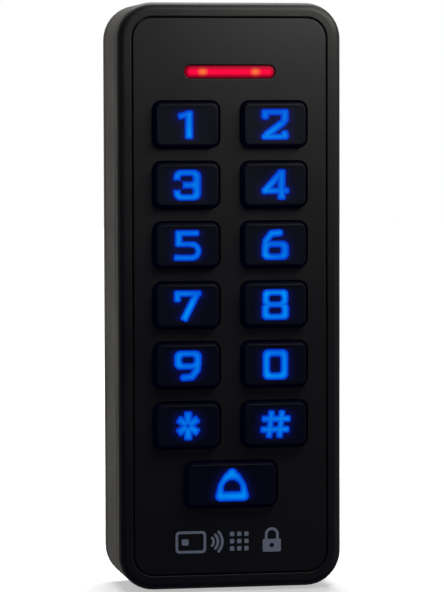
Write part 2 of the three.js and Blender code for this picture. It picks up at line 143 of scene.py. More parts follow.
def oblong(width, height, radius, x=0.0, y=0.0, steps=CORNER_STEPS):
    """An outline maker: inset to the points of a box with round corners, anticlockwise."""
    def at(inset):
        corner = max(radius - inset, 0.05)
        reach_x = width / 2 - inset - corner
        reach_y = height / 2 - inset - corner
        points = []
        for quarter, (side_x, side_y) in enumerate(((1, -1), (1, 1), (-1, 1), (-1, -1))):
            for step in range(steps + 1):
                angle = radians(90 * (quarter - 1 + step / steps))
                points.append((x + side_x * reach_x + corner * cos(angle),
                               y + side_y * reach_y + corner * sin(angle)))
        return points
    return at


def pill(width, height, x, y, steps=CORNER_STEPS):
    """An outline maker for a box with round ends."""
    return oblong(width, height, min(width, height) / 2 - 0.01, x, y, steps)


def circle(radius, x=0.0, y=0.0, steps=48):
    """An outline maker: inset to the points of a circle, anticlockwise."""
    def at(inset):
        turns = [2 * pi * step / steps for step in range(steps)]
        return [(x + (radius - inset) * cos(turn), y + (radius - inset) * sin(turn))
                for turn in turns]
    return at


def rounded(corners, steps=ARC_STEPS):
    """A profile of (inset, out) with each (inset, out, radius) corner rounded and held."""
    path = []
    for index, (inset, out, radius) in enumerate(corners):
        corner = Vector((inset, out))
        if radius == 0:
            path.append(corner)
            continue
        before = (Vector(corners[index - 1][:2]) - corner).normalized()
        after = (Vector(corners[index + 1][:2]) - corner).normalized()
        half = before.angle(after) / 2
        run = radius / tan(half)
        centre = corner + (before + after).normalized() * radius / sin(half)
        start = corner + before * run
        end = corner + after * run
        first = atan2(start.y - centre.y, start.x - centre.x)
        turn = atan2(end.y - centre.y, end.x - centre.x) - first
        turn = (turn + pi) % (2 * pi) - pi
        path.append(start + before * HOLD)
        for step in range(steps + 1):
            angle = first + turn * step / steps
            path.append(centre + radius * Vector((cos(angle), sin(angle))))
        path.append(end + after * HOLD)
    return path


def straight(start, end, radii, runs, steps=3):
    """A profile from one flat face to another, with this run along each and rounded edges."""
    return rounded([(runs[0], start, 0), (0, start, radii[0]), (0, end, radii[1]),
                    (runs[1], end, 0)], steps)


# ---- Meshes ----

class Shape:
    """A mesh in face millimetres, built from rings, walls between them and flat fills."""

    def __init__(self):
        self.mesh = bmesh.new()
        self.glow = self.mesh.verts.layers.float.new("glow")

    def ring(self, outline, out):
        return [self.mesh.verts.new((x, y, out)) for x, y in outline]

    def wall(self, first, second):
        count = len(first)
        for index in range(count):
            after = (index + 1) % count
            self.mesh.faces.new((first[index], first[after], second[after], second[index]))

    def loft(self, outline, profile, first=None):
        """Rings along a profile, joined by walls. It returns the first and last rings."""
        rings = [self.ring(outline(inset), out) for inset, out in profile]
        if first is not None:
            rings.insert(0, first)
        for one, other in zip(rings, rings[1:]):
            self.wall(one, other)
        return rings[0], rings[-1]

    def fill(self, outer, openings=()):
        """A flat face inside the outer ring, with the openings left free."""
        loops = [outer, *openings]
        verts = [vert for loop in loops for vert in loop]
        for corners in tessellate_polygon([[vert.co for vert in loop] for loop in loops]):
            self.mesh.faces.new([verts[corner] for corner in corners])

    def piece(self, name, material):
        """The finished object, in metres, with its faces pointing out."""
        bmesh.ops.dissolve_degenerate(self.mesh, dist=0.001, edges=self.mesh.edges)
        bmesh.ops.recalc_face_normals(self.mesh, faces=self.mesh.faces)
        for vert in self.mesh.verts:
            x, y, out = vert.co
            vert.co = (x * MM, -out * MM, y * MM)
        data = bpy.data.meshes.new(name)
        self.mesh.to_mesh(data)
        self.mesh.free()
        smooth(data)
        data.materials.append(material)
        return in_scene(name, data)


def smooth(data):
    """Smooth shading, except across sharp edges."""
    data.shade_smooth()
    data.set_sharp_from_angle(angle=radians(SHARP_ANGLE))


def in_scene(name, data):
    """A new object in the scene."""
    thing = bpy.data.objects.new(name, data)
    scene.collection.objects.link(thing)
    return thing


def aimed_up(shape, x, out):
    """Lay a shape made along the out axis so that it runs up the face instead."""
    for vert in shape.mesh.verts:
        vert.co = (vert.co.x + x, vert.co.z, vert.co.y + out)


def aimed_across(shape):
    """Lay a shape made along the out axis so that it runs across the face instead."""
    for vert in shape.mesh.verts:
        vert.co = (vert.co.z, vert.co.x, vert.co.y)


def solid(shape, outline, profile):
    """A closed solid: a loft with a flat face at each end."""
    first, last = shape.loft(outline, profile)
    shape.fill(first)
    shape.fill(last)


def stud(shape, outline, foot, top, radius, land=0.7):
    """A solid that stands on a floor, with a rounded edge round the land at its top."""
    solid(shape, outline, rounded([(0, foot, 0), (0, top, radius), (land, top, 0)], 3))


def holes(shape, outlines, profile):
    """One loft at each outline. It returns the rings at their starts and at their ends."""
    pairs = [shape.loft(outline, profile) for outline in outlines]
    return [first for first, last in pairs], [last for first, last in pairs]


def closed_ring(shape, outline, corners):
    """A ring whose section ends where it starts."""
    first, last = shape.loft(outline, rounded(corners, 5)[:-1])
    shape.wall(last, first)


def counterbore(shape, x, y, start, head, bore, seat, end):
    """The space of a screw hole: a flared mouth, room for the head down to its seat, a bore."""
    solid(shape, circle(head, x, y), rounded(
        [(-0.5, start - 0.35, 0), (0, start + 0.15, 0.1), (0, seat, 0.1),
         (head - bore, seat, 0.1), (head - bore, end, 0)], 3))


def walled_in(shape, outline, ring, inset, start, floor, radius, land):
    """A wall from a ring to a floor, with a rounded foot. It returns the floor's ring."""
    profile = rounded([(inset, start, 0), (inset, floor, radius), (inset + land, floor, 0)], 3)
    return shape.loft(outline, profile[1:], first=ring)[1]


def meshed_fill(shape, ring, points, out_at):
    """A face inside the ring with extra points in it, each at its own height."""
    edge = [vert.co.to_2d() for vert in ring]
    count = len(edge)
    loops = [(index, (index + 1) % count) for index in range(count)]
    places, _, faces, origins, _, _ = delaunay_2d_cdt(
        edge + [Vector(point) for point in points], loops, [], 1, 1e-5)
    verts = []
    for place, origin in zip(places, origins):
        on_ring = [index for index in origin if index < count]
        verts.append(ring[on_ring[0]] if on_ring
                     else shape.mesh.verts.new((*place, out_at(*place))))
    for face in faces:
        shape.mesh.faces.new([verts[index] for index in face])


def bake(thing):
    """Put the result of a piece's modifiers into its mesh."""
    shaped = thing.evaluated_get(bpy.context.evaluated_depsgraph_get())
    data = bpy.data.meshes.new_from_object(shaped)
    thing.modifiers.clear()
    thing.data = data


def combine(thing, shape, operation):
    """Join a drawn solid to a finished piece, or cut it away."""
    tool = shape.piece("tool", thing.data.materials[0])
    modifier = thing.modifiers.new("combine", "BOOLEAN")
    modifier.operation = operation
    modifier.solver = "EXACT"
    modifier.object = tool
    bake(thing)
    bpy.data.objects.remove(tool)
    smooth(thing.data)


# ---- Materials ----

class Nodes:
    """Adds nodes to the tree of a material or of the world."""

    def __init__(self, tree):
        self.tree = tree

    def node(self, kind, settings=None, *values, **inputs):
        """A new node with these settings, and with inputs fed in order or by name."""
        node = self.tree.nodes.new("ShaderNode" + kind)
        for key, value in (settings or {}).items():
            setattr(node, key, value)
        for socket, value in zip(node.inputs, values):
            self.feed(socket, value)
        for key, value in inputs.items():
            self.feed(node.inputs[key.replace("_", " ")], value)
        return node

    def feed(self, socket, value):
        if isinstance(value, bpy.types.NodeSocket):
            self.tree.links.new(value, socket)
        else:
            socket.default_value = value

    def between(self, factor, low, high, span=(0.0, 1.0), kind="LINEAR"):
        """A value that runs from low to high as the factor crosses its span."""
        return self.node("MapRange", {"interpolation_type": kind},
                         factor, *span, low, high).outputs["Result"]

    def tint(self, factor, dark, light):
        node = self.node("Mix", {"data_type": "RGBA"}, factor)
        self.feed(node.inputs[6], (*dark, 1))
        self.feed(node.inputs[7], (*light, 1))
        return node.outputs[2]

    def math(self, operation, first, second):
        return self.node("Math", {"operation": operation}, first, second).outputs[0]


class Surface(Nodes):
    """A procedural material on one Principled shader, in the object's own coordinates."""

    def __init__(self, name):
        self.name = name
        self.material = bpy.data.materials.new(name)
        self.material.use_nodes = True
        super().__init__(self.material.node_tree)
        self.shader = self.tree.nodes["Principled BSDF"]
        self.place = self.node("TexCoord").outputs["Object"]

    def noise(self, size, detail=3.0, roughness=0.5):
        """Noise from 0 to 1 with features about this many millimetres across."""
        return self.node("TexNoise", Vector=self.place, Scale=1 / (size * MM),
                         Detail=detail, Roughness=roughness).outputs["Fac"]

    def cells(self, size):
        return self.node("TexVoronoi", {"feature": "SMOOTH_F1"}, Vector=self.place,
                         Scale=1 / (size * MM)).outputs["Distance"]

    def near(self, place, reach):
        """1 at a place in millimetres, falling smoothly to 0 at this distance from it."""
        away = self.node("VectorMath", {"operation": "DISTANCE"}, self.place,
                         Vector(place) * MM).outputs["Value"]
        return self.between(away, 1, 0, (0, reach * MM), "SMOOTHSTEP")

    def attribute(self, name):
        return self.node("Attribute", {"attribute_name": name}).outputs["Fac"]

    def bump(self, height, microns):
        node = self.node("Bump", Height=height, Distance=microns * MM * MM)
        self.feed(self.shader.inputs["Normal"], node.outputs["Normal"])

    def set(self, **inputs):
        for key, value in inputs.items():
            self.feed(self.shader.inputs[key.replace("_", " ")], value)


def moulded(name, dark, light, roughness, grain, depth, **shader):
    """Moulded plastic: a fine spark-eroded grain, and soft mottling in colour and gloss."""
    surface = Surface(name)
    pits = surface.cells(grain)
    cloud = surface.noise(14, detail=4)
    fine = surface.noise(grain * 1.7, detail=2)
    shade = surface.math("ADD", surface.math("MULTIPLY", cloud, 0.65),
                         surface.math("MULTIPLY", fine, 0.35))
    surface.set(Base_Color=surface.tint(surface.between(shade, 0, 1, (0.3, 0.7)), dark, light),
                Roughness=surface.between(cloud, *roughness, (0.3, 0.7)), **shader)
    surface.bump(surface.math("ADD", pits, surface.math("MULTIPLY", fine, 0.6)), depth)
    return surface


def key_plastic():
    """Satin black key caps with a painted blue glow: faint over the whole cap, stronger round its
    lit sign.
    """
    surface = moulded("key_plastic", (0.0025, 0.0028, 0.0038), (0.0042, 0.0046, 0.0065),
                      (0.5, 0.58), 0.5, 6, Specular_IOR_Level=0.25)
    painted_halo = surface.attribute("glow")
    # Painted light: the cap's emission is a blue glow, 0.006 everywhere and up to 0.17 beside the
    # sign.
    surface.set(Emission_Color=(0.0, 0.02, 0.5, 1),
                Emission_Strength=surface.between(painted_halo, 0.006, 0.17))
    return surface


def lit_sign():
    """Translucent blue sign: bright along the middle of its strokes, deeper at the edges."""
    surface = Surface("blue_light")
    core = surface.attribute("glow")
    patch = surface.noise(9, detail=1)
    level = surface.math("MULTIPLY", core, surface.between(patch, 0.6, 1.1, (0.35, 0.65)))
    surface.set(Base_Color=surface.tint(level, (0.0, 0.01, 0.08), (0.0, 0.04, 0.12)),
                Emission_Color=surface.tint(level, (0.0, 0.032, 0.8), (0.0, 0.3, 1.0)),
                Emission_Strength=surface.between(level, 0.66, 0.93),
                Roughness=surface.between(patch, 0.4, 0.5), Specular_IOR_Level=0.12)
    return surface


def lit_bar():
    """Translucent red bar: bright along its middle, with a hot spot in front of each lamp."""
    surface = Surface("red_light")
    haze = surface.noise(1.2, detail=2)
    uneven = surface.between(haze, 1.16, 1.26, (0.3, 0.7))
    spots = [surface.near((lamp.x - 0.2, -bar.front, lamp.y), 1.5) for lamp in lamps]
    spot = surface.math("ADD", *spots)
    surface.set(Base_Color=surface.tint(haze, (0.03, 0.0, 0.003), (0.05, 0.0, 0.005)),
                Emission_Color=surface.tint(spot, (0.9, 0.0, 0.042), (0.98, 0.15, 0.035)),
                Emission_Strength=surface.math("MULTIPLY", surface.attribute("glow"), uneven),
                Roughness=surface.between(haze, 0.35, 0.45), Specular_IOR_Level=0.12)
    return surface


def pale_print():
    """Pad-printed pale ink, a little uneven."""
    surface = Surface("pale_print")
    worn = surface.noise(0.7, detail=3)
    surface.set(Base_Color=surface.tint(worn, (0.55, 0.64, 0.72), (0.76, 0.84, 0.92)),
                Roughness=surface.between(worn, 0.45, 0.65))
    surface.bump(worn, 6)
    return surface


def rubber(name, dark, light, grain=0.8):
    return moulded(name, dark, light, (0.7, 0.85), grain, 14)


def plated(name, dark, light):
    """Plated or drawn metal with fine scratches."""
    surface = Surface(name)
    scratch = surface.noise(0.25, detail=5, roughness=0.7)
    surface.set(Base_Color=surface.tint(scratch, dark, light), Metallic=1.0,
                Roughness=surface.between(scratch, 0.22, 0.4, (0.3, 0.7)))
    surface.bump(scratch, 3)
    return surface


def board_green():
    """Solder mask over copper tracks, which run up in some areas and across in others."""
    surface = Surface("circuit_board")

    def tracks(turn):
        flat = surface.node("Mapping", Vector=surface.place, Rotation=(radians(90), 0, turn))
        return surface.node("TexBrick", {"offset": 0.37}, Vector=flat.outputs[0], Scale=1 / MM,
                            Mortar_Size=0.09, Mortar_Smooth=0.3, Brick_Width=9.0,
                            Row_Height=0.8).outputs["Fac"]

    area = surface.between(surface.noise(16, detail=1), 0, 1, (0.49, 0.51))
    track = surface.node("Mix", Factor=area, A=tracks(0), B=tracks(radians(90))).outputs["Result"]
    surface.set(Base_Color=surface.tint(track, (0.006, 0.06, 0.018), (0.018, 0.13, 0.04)),
                Roughness=surface.between(surface.noise(2), 0.25, 0.4))
    surface.bump(track, 20)
    return surface


def winding():
    """Varnished copper wire laid side by side."""
    surface = Surface("copper")
    bands = surface.node("TexWave", {"bands_direction": "Y"}, Vector=surface.place,
                         Scale=1 / (4 * MM)).outputs["Fac"]
    surface.set(Base_Color=surface.tint(bands, (0.35, 0.12, 0.04), (0.78, 0.36, 0.16)),
                Metallic=1.0, Roughness=surface.between(bands, 0.45, 0.25))
    surface.bump(bands, 40)
    return surface


surfaces = [
    moulded("case_plastic", (0.0125, 0.0123, 0.0112), (0.018, 0.0176, 0.016), (0.46, 0.56),
            0.36, 13),
    moulded("panel_plastic", (0.0105, 0.0107, 0.0104), (0.015, 0.0151, 0.0143), (0.48, 0.58),
            0.32, 9),
    key_plastic(), lit_sign(), lit_bar(), pale_print(),
    rubber("black_rubber", (0.008, 0.008, 0.008), (0.014, 0.014, 0.014)),
    rubber("silicone", (0.2, 0.2, 0.22), (0.3, 0.3, 0.32)),
    rubber("carbon", (0.008, 0.008, 0.009), (0.013, 0.013, 0.014), 0.3),
    board_green(), winding(),
    moulded("chip_plastic", (0.008, 0.008, 0.009), (0.016, 0.016, 0.017), (0.5, 0.62), 0.15, 8),
    moulded("white_plastic", (0.62, 0.6, 0.54), (0.74, 0.72, 0.66), (0.4, 0.5), 0.6, 10),
    plated("steel", (0.42, 0.43, 0.45), (0.6, 0.61, 0.63)),
    plated("aluminium", (0.66, 0.66, 0.67), (0.82, 0.82, 0.83)),
    moulded("clear_lens", (0.4, 0.12, 0.06), (0.55, 0.2, 0.1), (0.1, 0.2), 1.0, 2),
]
finishes = {surface.name: surface.material for surface in surfaces}


def eased_copy(node, body, slot):
    """Put a copy with its sharp edges rounded off in the place of a small CAD piece."""
    source = frame["nodes"][node]
    welded, flat, sliver = 0.005, 1, 0.002
    mesh = bmesh.new()
    mesh.from_mesh(source.data)
    mesh.transform(source.matrix_world)
    bmesh.ops.remove_doubles(mesh, verts=mesh.verts, dist=welded * MM)
    bmesh.ops.dissolve_limit(mesh, angle_limit=radians(flat), verts=mesh.verts, edges=mesh.edges)
    sharp = [edge for edge in mesh.edges
             if edge.is_manifold and edge.calc_face_angle() > radians(EASED_ANGLE)]
    bmesh.ops.bevel(mesh, geom=sharp, offset=EASED_EDGE * MM, segments=2, profile=0.5,
                    affect="EDGES", clamp_overlap=True)
    bmesh.ops.dissolve_degenerate(mesh, dist=sliver * MM, edges=mesh.edges)
    data = bpy.data.meshes.new(node + "_body")
    mesh.to_mesh(data)
    mesh.free()
    data.shade_smooth()
    data.materials.append(finishes[slot])
    thing = in_scene(node + "_body", data)
    thing.modifiers.new("flat_faces", "WEIGHTED_NORMAL")
    bake(thing)
    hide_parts(node)
    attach(thing, body)


# ---- Signs, as distances in millimetres that are below zero inside a shape ----

SIGN_GRID = 0.13
SIDE = 1.95
BAR = 1.5
BLUNT = 0.55


def slab(left, right, low, high, blunt=BLUNT):
    """A box with rounded corners."""
    def distance(x, y):
        reach_x = max(left - x, x - right) + blunt
        reach_y = max(low - y, y - high) + blunt
        outside = hypot(max(reach_x, 0), max(reach_y, 0))
        return outside + min(max(reach_x, reach_y), 0) - blunt
    return distance


def stroke(ax, ay, bx, by, half, blunt=BLUNT):
    """A straight stroke from a to b with square ends, turned to any angle."""
    length = hypot(bx - ax, by - ay)
    ux, uy = (bx - ax) / length, (by - ay) / length
    level = slab(0, length, -half, half, blunt)
    return lambda x, y: level((x - ax) * ux + (y - ay) * uy, (y - ay) * ux - (x - ax) * uy)


def round_pen(points, half):
    """A stroke with a round pen along joined straight lines."""
    def distance(x, y):
        nearest = inf
        for (ax, ay), (bx, by) in zip(points, points[1:]):
            dx, dy = bx - ax, by - ay
            along = ((x - ax) * dx + (y - ay) * dy) / (dx * dx + dy * dy)
            along = min(max(along, 0.0), 1.0)
            nearest = min(nearest, hypot(x - ax - along * dx, y - ay - along * dy))
        return nearest - half
    return distance


def arc_pen(cx, cy, radius, half, spread):
    """A stroke along an arc that reaches this many degrees each way from +x."""
    limit = radians(spread)

    def distance(x, y):
        angle = min(max(atan2(y - cy, x - cx), -limit), limit)
        return hypot(x - cx - radius * cos(angle), y - cy - radius * sin(angle)) - half
    return distance


def dot(cx, cy, radius):
    return lambda x, y: hypot(x - cx, y - cy) - radius


def union(*parts):
    return lambda x, y: min(part(x, y) for part in parts)


def cut(body, *openings):
    return lambda x, y: max(body(x, y), *(-opening(x, y) for opening in openings))


def shifted(part, dx):
    return lambda x, y: part(x - dx, y)


def sign_shapes():
    """The signs of the keys. The figures are wide, with thick uprights and thinner bars."""
    wide, high = 3.2, 3.5
    top_bar = slab(-wide, wide, high - BAR, high, 0.7)
    bottom_bar = slab(-wide, wide, -high, BAR - high, 0.7)
    six = union(cut(slab(-wide, wide, -high, 0.9, 1.5), slab(-1.3, 1.25, -1.95, -0.65, 0.5)),
                round_pen([(-2.3, -0.6), (-2.1, 0.9), (-0.85, 2.5), (1.0, 2.65)], 0.88))
    return {
        "1": union(slab(-0.55, 1.4, -high + 0.2, high - 0.3),
                   stroke(-2.1, 1.75, 0.9, high - 1.0, 0.76, 0.4)),
        "2": union(top_bar, slab(-wide, SIDE - wide, 1.0, high, 0.85), bottom_bar,
                   slab(wide - SIDE, wide, 0.1, high, 0.95),
                   stroke(wide - 0.75, 0.9, 0.75 - wide, 0.8 - high, 0.92, 0.7),
                   slab(wide - SIDE, wide, -high, 2.25 - high, 0.85)),
        "3": cut(slab(-wide, wide, -high, high, 1.7), slab(-1.5, 1.2, 0.82, high - BAR),
                 slab(-1.5, 1.2, BAR - high, -0.82), slab(-wide - 1, -1.1, -1.0, 1.0)),
        "4": union(round_pen([(1.3, high - 0.9), (-2.3, -1.35)], 0.9),
                   slab(-wide, wide + 0.1, -2.15, -0.6), slab(0.5, 2.45, -high, high)),
        "5": union(slab(-2.9, 2.7, high - BAR, high), slab(-2.9, -1.05, -0.4, high),
                   slab(-2.9, 1.2, -0.4, 0.95), arc_pen(0.95, -1.27, 1.5, 0.74, 90),
                   slab(-wide, 1.2, -high, 1.46 - high), slab(-wide, -1.6, -high, -1.95)),
        "6": six,
        "7": union(slab(-wide, wide, high - 1.55, high), slab(-wide, 1.7 - wide, 0.75, high),
                   stroke(wide - 0.9, high - 0.4, -1.05, 0.05 - high, 0.93, 0.5)),
        "8": cut(union(slab(-wide + 0.15, wide - 0.15, -0.4, high, 1.2),
                       slab(-wide, wide, -high, 0.45, 1.2)),
                 slab(-1.3, 1.3, 0.72, high - BAR), slab(-1.35, 1.35, BAR - high, -0.68)),
        "9": lambda x, y: six(-x, -y),
        "0": cut(slab(-wide + 0.2, wide - 0.2, -high, high, 1.4), slab(-1.15, 1.15, -1.75, 1.75)),
        "star": union(*star_arms()),
        "hash": union(*hash_lines()),
        "bell": bell_sign(),
    }


def star_arms():
    """Two upright arms and four shorter ones that lean out to the sides."""
    half, lean = 1.0, 55
    arms = [(0, 3.3), (180, 3.3), *[(turn, 2.95) for turn in (lean, 180 - lean, 180 + lean, -lean)]]
    return [stroke(0, 0, reach * sin(radians(turn)), reach * cos(radians(turn)), half, 0.5)
            for turn, reach in arms]


def hash_lines():
    half, apart, slant, reach, length = 0.82, 1.2, 0.35, 3.2, 3.4
    uprights = [stroke(x - slant, -reach, x + slant, reach, half) for x in (-apart, apart)]
    level = [slab(lean - length, lean + length, y - half, y + half)
             for y, lean in ((apart, 0.15), (-apart, -0.15))]
    return uprights + level


def bell_sign():
    """A bell: a broad dome that narrows to a round top, a wide foot and a D-shaped opening."""
    flank = ((2.8, -2.6), (2.25, -0.3), (1.05, 1.7), (0, 2.55))
    flanks = [round_pen([(side * x, y) for x, y in flank], 1.1) for side in (-1, 1)]
    body = union(dot(0, 2.5, 1.3), dot(0, -0.3, 3.0), slab(-3.9, 3.9, -3.8, -1.2, 1.3), *flanks)
    below = slab(-4, 4, -8, -1.45, 0.05)
    return cut(body, cut(dot(0, -0.85, 1.85), below))


signs = sign_shapes()


def inked(distance, width, height, out_at, thickness, reach):
    """A thin solid where the distance is below zero, with more glow away from its edge."""
    shape = Shape()
    mesh = shape.mesh
    columns = ceil(width / SIGN_GRID)
    rows = ceil(height / SIGN_GRID)
    step_x, step_y = width / columns, height / rows
    value = {}
    for column in range(columns + 1):
        for row in range(rows + 1):
            x, y = column * step_x - width / 2, row * step_y - height / 2
            value[column, row] = (distance(x, y), x, y)
    made = {}

    def vert(one, other):
        """A grid corner, or where the edge between two corners crosses zero."""
        key = tuple(sorted((one, other)))
        if key not in made:
            (level, x, y), (far, far_x, far_y) = value[one], value[other]
            if one != other:
                part = level / (level - far)
                x, y, level = x + (far_x - x) * part, y + (far_y - y) * part, 0.0
            top = mesh.verts.new((x, y, out_at(x, y)))
            low = mesh.verts.new((x, y, out_at(x, y) - thickness))
            top[shape.glow] = low[shape.glow] = min(max(-level / reach, 0.0), 1.0)
            made[key] = (top, low)
        return made[key]

    for column in range(columns):
        for row in range(rows):
            corners = [(column, row), (column + 1, row), (column + 1, row + 1), (column, row + 1)]
            if all(value[corner][0] >= 0 for corner in corners):
                continue
            loop = []
            for here, there in zip(corners, corners[1:] + corners[:1]):
                if value[here][0] < 0:
                    loop.append(vert(here, here))
                if (value[here][0] < 0) != (value[there][0] < 0):
                    loop.append(vert(here, there))
            if len(loop) >= 3:
                mesh.faces.new([top for top, low in loop])
                mesh.faces.new([low for top, low in reversed(loop)])
    pairs = {top: low for top, low in made.values()}
    for edge in [edge for edge in mesh.edges if edge.is_boundary and edge.verts[0] in pairs]:
        one, other = edge.verts
        mesh.faces.new((one, other, pairs[other], pairs[one]))
    return shape


# ---- Front cover ----

def key_outline(sign, clearance):
    """A key's sides above its flange, with this much room round them."""
    key = keys[sign]
    width = key.width - 2 * KEY_REACH + 2 * clearance
    height = key.height - 2 * KEY_LIP + 2 * clearance
    return oblong(width, height, KEY_CORNER + clearance, key.x, key.y, FEW_STEPS)


def bar_outline(clearance):
    return pill(BAR_WIDTH + 2 * clearance, BAR_HEIGHT + 2 * clearance, bar.x, bar.y)


def face_outlines(key_clearance, bar_clearance):
    """Where the face is open: round each key and round the light bar."""
    return [key_outline(sign, key_clearance) for sign in SIGNS] + [bar_outline(bar_clearance)]


case_outline = oblong(cover.width, cover.height, CASE_CORNER)


def front_cover():
    """Cover with a rounded rim, a seat for the face panel and four screw posts behind."""
    shape = Shape()
    lip = COVER_BACK - SEAM_LIP
    inner, seat = shape.loft(case_outline, rounded([
        (TUB_WALL, lip, 0), (SEAM_DEPTH, lip, 0.05), (SEAM_DEPTH, COVER_BACK, 0.05),
        (0, COVER_BACK, 0.25), (0, cover.front, 1.7), (RIM, cover.front, 0.25),
        (RIM, PANEL_SEAT, 0.12), (RIM + 0.8, PANEL_SEAT, 0)]))
    tops, backs = holes(shape, face_outlines(KEY_GAP + 0.2, 0.5),
                        straight(PANEL_SEAT, COVER_INSIDE, (0.1, 0.1), (-0.3, -0.3)))
    shape.fill(seat, tops)
    post, bore, bore_end = 3.2, 1.6, 17.5
    for screw in screws:
        foot, end = shape.loft(circle(post, screw.x, screw.y, 32), rounded(
            [(-0.4, COVER_INSIDE, 0), (0, COVER_INSIDE, 0.3), (0, cover.back, 0.2),
             (post - bore, cover.back, 0.15), (post - bore, bore_end, 0)], 3))
        shape.fill(end)
        backs.append(foot)
    inside = walled_in(shape, case_outline, inner, TUB_WALL, lip, COVER_INSIDE, 0.2, 0.5)
    shape.fill(inside, backs)
    return shape.piece("front_cover_shell", finishes["case_plastic"])


def face_panel():
    """Panel let into the cover, with rounded edges at every opening."""
    shape = Shape()
    outline = oblong(panel.width, panel.height, CASE_CORNER - RIM - GAP)
    back, front = shape.loft(outline, straight(panel.back, panel.front, (0.12, 0.2),
                                               (0.5, 0.9), ARC_STEPS))
    fronts, backs = holes(shape, face_outlines(KEY_GAP, BAR_GAP),
                          straight(panel.front, panel.back, (0.15, 0.1), (-0.5, -0.3), 4))
    shape.fill(front, fronts)
    shape.fill(back, backs)
    return shape.piece("face_panel_plate", finishes["panel_plastic"])


def light_bar():
    """Light guide: a domed pill, brightest along its middle, with a flange and a foot per lamp."""
    shape = Shape()
    flange_back, flange_corner, foot = 17.6, 1, 1.3
    flange = oblong(bar.width, bar.height, flange_corner, bar.x, bar.y, 4)
    first, last = shape.loft(flange, [(0, flange_back), (0, FLANGE_FRONT)])
    shoulder, middle = 0.7, BAR_HEIGHT / 2 - 0.06
    dome = rounded([(0, FLANGE_FRONT, 0), (0, bar.front - 0.05, 0.5), (shoulder, bar.front, 0)], 8)
    dome += [Vector((shoulder + (middle - shoulder) * step / 6, bar.front)) for step in range(1, 7)]
    neck, crown = shape.loft(bar_outline(0), dome)
    shape.fill(last, [neck])
    shape.fill(crown)
    rims, ends = holes(shape, [circle(foot, lamp.x, lamp.y, 24) for lamp in lamps],
                       [(0, flange_back), (0, bar.back)])
    for end in ends:
        shape.fill(end)
    shape.fill(first, rims)
    lit_depth, glow_reach, least_glow = 0.7, 0.82, 0.12
    for vert in shape.mesh.verts:
        if vert.co.z > bar.front - lit_depth:
            along = max(abs(vert.co.x - bar.x) - (BAR_WIDTH - BAR_HEIGHT) / 2, 0)
            away = hypot(along, vert.co.y - bar.y) / glow_reach
            vert[shape.glow] = least_glow + (1 - least_glow) * exp(-away ** 2.2)
    return shape.piece("light_bar_guide", finishes["red_light"])


# ---- Keys ----

KEY_SLOPE = 0.45
KEY_SHOULDER = 21.9
KEY_FLANGE = 1.0
DISH = 0.14
DISH_GRID = 0.36
DISH_MARGIN = 0.75
# HALO is how far, in millimetres, the glow painted on a cap reaches out from its sign.
HALO = 0.55


def key_top_out(key):
    """The height of the key's dished top at a point on it."""
    half_x = key.width / 2 - KEY_REACH - KEY_SLOPE
    half_y = key.height / 2 - KEY_LIP - KEY_SLOPE

    def out_at(x, y):
        across = min(abs(x - key.x) / half_x, 1)
        up = min(abs(y - key.y) / half_y, 1)
        return key.front - DISH * (1 - across ** 2) * (1 - up ** 2)
    return out_at


def key_cap(sign):
    """A key with a dished top, a flange that holds it in and a stem, and its lit sign."""
    key = keys[sign]
    shape = Shape()
    width, height = key.width - 2 * KEY_REACH, key.height - 2 * KEY_LIP
    flange_back = FLANGE_FRONT - KEY_FLANGE
    flange = oblong(key.width, key.height, 0.8, key.x, key.y, FEW_STEPS)
    under, over = shape.loft(
        flange, straight(flange_back, FLANGE_FRONT, (0.15, 0.15), (0.8, 0.8), 2))
    neck, top = shape.loft(key_outline(sign, 0), rounded(
        [(-0.3, FLANGE_FRONT, 0), (0, FLANGE_FRONT, 0.15), (0, KEY_SHOULDER, 0.5),
         (KEY_SLOPE, key.front, 0.26), (KEY_SLOPE + 0.55, key.front, 0)], 5))
    shape.wall(over, neck)
    out_at = key_top_out(key)
    half_x = width / 2 - KEY_SLOPE - DISH_MARGIN
    half_y = height / 2 - KEY_SLOPE - DISH_MARGIN
    columns, rows = round(2 * half_x / DISH_GRID), round(2 * half_y / DISH_GRID)
    points = [(key.x - half_x + 2 * half_x * column / columns,
               key.y - half_y + 2 * half_y * row / rows)
              for column in range(columns + 1) for row in range(rows + 1)]
    meshed_fill(shape, top, points, out_at)
    stem = 2.8
    stem_ring, stem_end = shape.loft(
        circle(stem, key.x, key.y, 28), straight(flange_back, key.back, (0.15, 0.3), (-0.3, 0.8)))
    shape.fill(under, [stem_ring])
    shape.fill(stem_end)
    distance, fade = signs[sign], 0.5
    # Painted glow on the cap: strongest at the sign, fading over HALO millimetres and falling to
    # none towards the edge of the top.
    for vert in shape.mesh.verts:
        if vert.co.z > KEY_SHOULDER:
            x, y = vert.co.x - key.x, vert.co.y - key.y
            away = max(distance(x, y), 0)
            inside = min(half_x - abs(x), half_y - abs(y)) / fade
            vert[shape.glow] = exp(-away / HALO) * min(max(inside, 0), 1)
    body = "key_" + sign
    cap = shape.piece("key_cap_" + sign, finishes["key_plastic"])
    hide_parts(body)
    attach(cap, body)
    area, raised, thickness = (9.0, 8.6), 0.035, 0.12
    lit = inked(distance, *area, lambda x, y: out_at(key.x + x, key.y + y) + raised, thickness,
                SIDE / 2)
    bmesh.ops.translate(lit.mesh, verts=lit.mesh.verts, vec=(key.x, key.y, 0))
    sign_piece = lit.piece("key_sign_" + sign, finishes["blue_light"])
    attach(sign_piece, body)


# ---- Rear housing and gland ----

